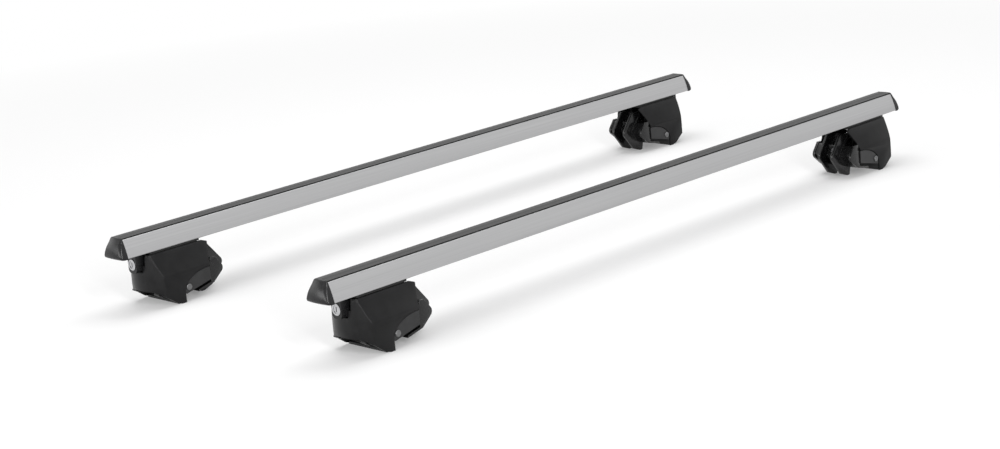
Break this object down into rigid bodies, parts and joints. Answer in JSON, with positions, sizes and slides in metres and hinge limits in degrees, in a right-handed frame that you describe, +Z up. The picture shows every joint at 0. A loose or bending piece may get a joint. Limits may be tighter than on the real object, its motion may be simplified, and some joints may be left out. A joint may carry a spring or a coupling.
{
  "type": "roof rack",
  "caption": "Cross bars of aluminium profile with rubber strips, on lockable clamp feet whose ribbed claws grip raised roof rails.",
  "frame": {"origin": "floor point midway between the bars and midway along them", "axes": "+X along the bars, +Y from the front bar to the rear bar, +Z up"},
  "size_m": [1.226, 0.5186, 0.1088],
  "materials": {
    "extrusion": "satin anodised",
    "strip_rubber": "matt, fine lines",
    "cap_plastic": "smooth moulded",
    "shell_plastic": "fine grained moulded",
    "jaw_plastic": "smooth moulded",
    "pad_rubber": "matt",
    "claw_coat": "glossy black coat",
    "pin_steel": "black coated",
    "coated_steel": "black coated",
    "zinc_steel": "zinc plated",
    "bright_steel": "plated",
    "lock_metal": "satin chrome"
  },
  "bodies": {
    "bars": {"front_bar": "extrusion", "front_strip": "strip_rubber", "front_left_end_cap": "cap_plastic", "front_right_end_cap": "cap_plastic", "rear_bar": "extrusion", "rear_strip": "strip_rubber", "rear_left_end_cap": "cap_plastic", "rear_right_end_cap": "cap_plastic"},
    "foot_front_left": {"front_left_cover": "shell_plastic", "front_left_bracket": "coated_steel", "front_left_saddle_pad": "pad_rubber", "front_left_channel_bolts": "bright_steel", "front_left_slot_nut": "zinc_steel", "front_left_jaw_block": "jaw_plastic", "front_left_jaw_pad": "pad_rubber", "front_left_cross_pin": "pin_steel", "front_left_lock_housing": "cap_plastic"},
    "claw_front_left": {"front_left_claw": "claw_coat", "front_left_claw_pad": "pad_rubber"},
    "screw_front_left": {"front_left_clamp_screw": "bright_steel"},
    "lock_front_left": {"front_left_lock_barrel": "lock_metal"},
    "foot_front_right": {"front_right_cover": "shell_plastic", "front_right_bracket": "coated_steel", "front_right_saddle_pad": "pad_rubber", "front_right_channel_bolts": "bright_steel", "front_right_slot_nut": "zinc_steel", "front_right_jaw_block": "jaw_plastic", "front_right_jaw_pad": "pad_rubber", "front_right_cross_pin": "pin_steel", "front_right_lock_housing": "cap_plastic"},
    "claw_front_right": {"front_right_claw": "claw_coat", "front_right_claw_pad": "pad_rubber"},
    "screw_front_right": {"front_right_clamp_screw": "bright_steel"},
    "lock_front_right": {"front_right_lock_barrel": "lock_metal"},
    "foot_rear_left": {"rear_left_cover": "shell_plastic", "rear_left_bracket": "coated_steel", "rear_left_saddle_pad": "pad_rubber", "rear_left_channel_bolts": "bright_steel", "rear_left_slot_nut": "zinc_steel", "rear_left_jaw_block": "jaw_plastic", "rear_left_jaw_pad": "pad_rubber", "rear_left_cross_pin": "pin_steel", "rear_left_lock_housing": "cap_plastic"},
    "claw_rear_left": {"rear_left_claw": "claw_coat", "rear_left_claw_pad": "pad_rubber"},
    "screw_rear_left": {"rear_left_clamp_screw": "bright_steel"},
    "lock_rear_left": {"rear_left_lock_barrel": "lock_metal"},
    "foot_rear_right": {"rear_right_cover": "shell_plastic", "rear_right_bracket": "coated_steel", "rear_right_saddle_pad": "pad_rubber", "rear_right_channel_bolts": "bright_steel", "rear_right_slot_nut": "zinc_steel", "rear_right_jaw_block": "jaw_plastic", "rear_right_jaw_pad": "pad_rubber", "rear_right_cross_pin": "pin_steel", "rear_right_lock_housing": "cap_plastic"},
    "claw_rear_right": {"rear_right_claw": "claw_coat", "rear_right_claw_pad": "pad_rubber"},
    "screw_rear_right": {"rear_right_clamp_screw": "bright_steel"},
    "lock_rear_right": {"rear_right_lock_barrel": "lock_metal"}
  },
  "joints": [
    {"name": "foot_slide_front_left", "type": "slide", "parent": "bars", "child": "foot_front_left", "axis": [1, 0, 0], "range_m": [0, 0.06]},
    {"name": "screw_turn_front_left", "type": "hinge", "parent": "foot_front_left", "child": "screw_front_left", "pos_m": [-0.556, -0.219, 0.042], "axis": [-1, 0, 0], "range_deg": [0, 10801]},
    {"name": "claw_slide_front_left", "type": "slide", "parent": "foot_front_left", "child": "claw_front_left", "axis": [1, 0, 0], "range_m": [0, 0.0375]},
    {"name": "lock_turn_front_left", "type": "hinge", "parent": "foot_front_left", "child": "lock_front_left", "pos_m": [-0.5814, -0.219, 0.064], "axis": [-1, 0, 0], "range_deg": [0, 90]},
    {"name": "foot_slide_front_right", "type": "slide", "parent": "bars", "child": "foot_front_right", "axis": [-1, 0, 0], "range_m": [0, 0.06]},
    {"name": "screw_turn_front_right", "type": "hinge", "parent": "foot_front_right", "child": "screw_front_right", "pos_m": [0.556, -0.219, 0.042], "axis": [1, 0, 0], "range_deg": [0, 10801]},
    {"name": "claw_slide_front_right", "type": "slide", "parent": "foot_front_right", "child": "claw_front_right", "axis": [-1, 0, 0], "range_m": [0, 0.0375]},
    {"name": "lock_turn_front_right", "type": "hinge", "parent": "foot_front_right", "child": "lock_front_right", "pos_m": [0.5814, -0.219, 0.064], "axis": [1, 0, 0], "range_deg": [0, 90]},
    {"name": "foot_slide_rear_left", "type": "slide", "parent": "bars", "child": "foot_rear_left", "axis": [1, 0, 0], "range_m": [0, 0.06]},
    {"name": "screw_turn_rear_left", "type": "hinge", "parent": "foot_rear_left", "child": "screw_rear_left", "pos_m": [-0.556, 0.219, 0.042], "axis": [-1, 0, 0], "range_deg": [0, 10801]},
    {"name": "claw_slide_rear_left", "type": "slide", "parent": "foot_rear_left", "child": "claw_rear_left", "axis": [1, 0, 0], "range_m": [0, 0.0375]},
    {"name": "lock_turn_rear_left", "type": "hinge", "parent": "foot_rear_left", "child": "lock_rear_left", "pos_m": [-0.5814, 0.219, 0.064], "axis": [-1, 0, 0], "range_deg": [0, 90]},
    {"name": "foot_slide_rear_right", "type": "slide", "parent": "bars", "child": "foot_rear_right", "axis": [-1, 0, 0], "range_m": [0, 0.06]},
    {"name": "screw_turn_rear_right", "type": "hinge", "parent": "foot_rear_right", "child": "screw_rear_right", "pos_m": [0.556, 0.219, 0.042], "axis": [1, 0, 0], "range_deg": [0, 10801]},
    {"name": "claw_slide_rear_right", "type": "slide", "parent": "foot_rear_right", "child": "claw_rear_right", "axis": [-1, 0, 0], "range_m": [0, 0.0375]},
    {"name": "lock_turn_rear_right", "type": "hinge", "parent": "foot_rear_right", "child": "lock_rear_right", "pos_m": [0.5814, 0.219, 0.064], "axis": [1, 0, 0], "range_deg": [0, 90]}
  ],
  "couplings": [
    {"joint": "screw_turn_front_left", "follows": "claw_slide_front_left", "rad_per_m": 5026.5},
    {"joint": "screw_turn_front_right", "follows": "claw_slide_front_right", "rad_per_m": 5026.5},
    {"joint": "screw_turn_rear_left", "follows": "claw_slide_rear_left", "rad_per_m": 5026.5},
    {"joint": "screw_turn_rear_right", "follows": "claw_slide_rear_right", "rad_per_m": 5026.5}
  ]
}
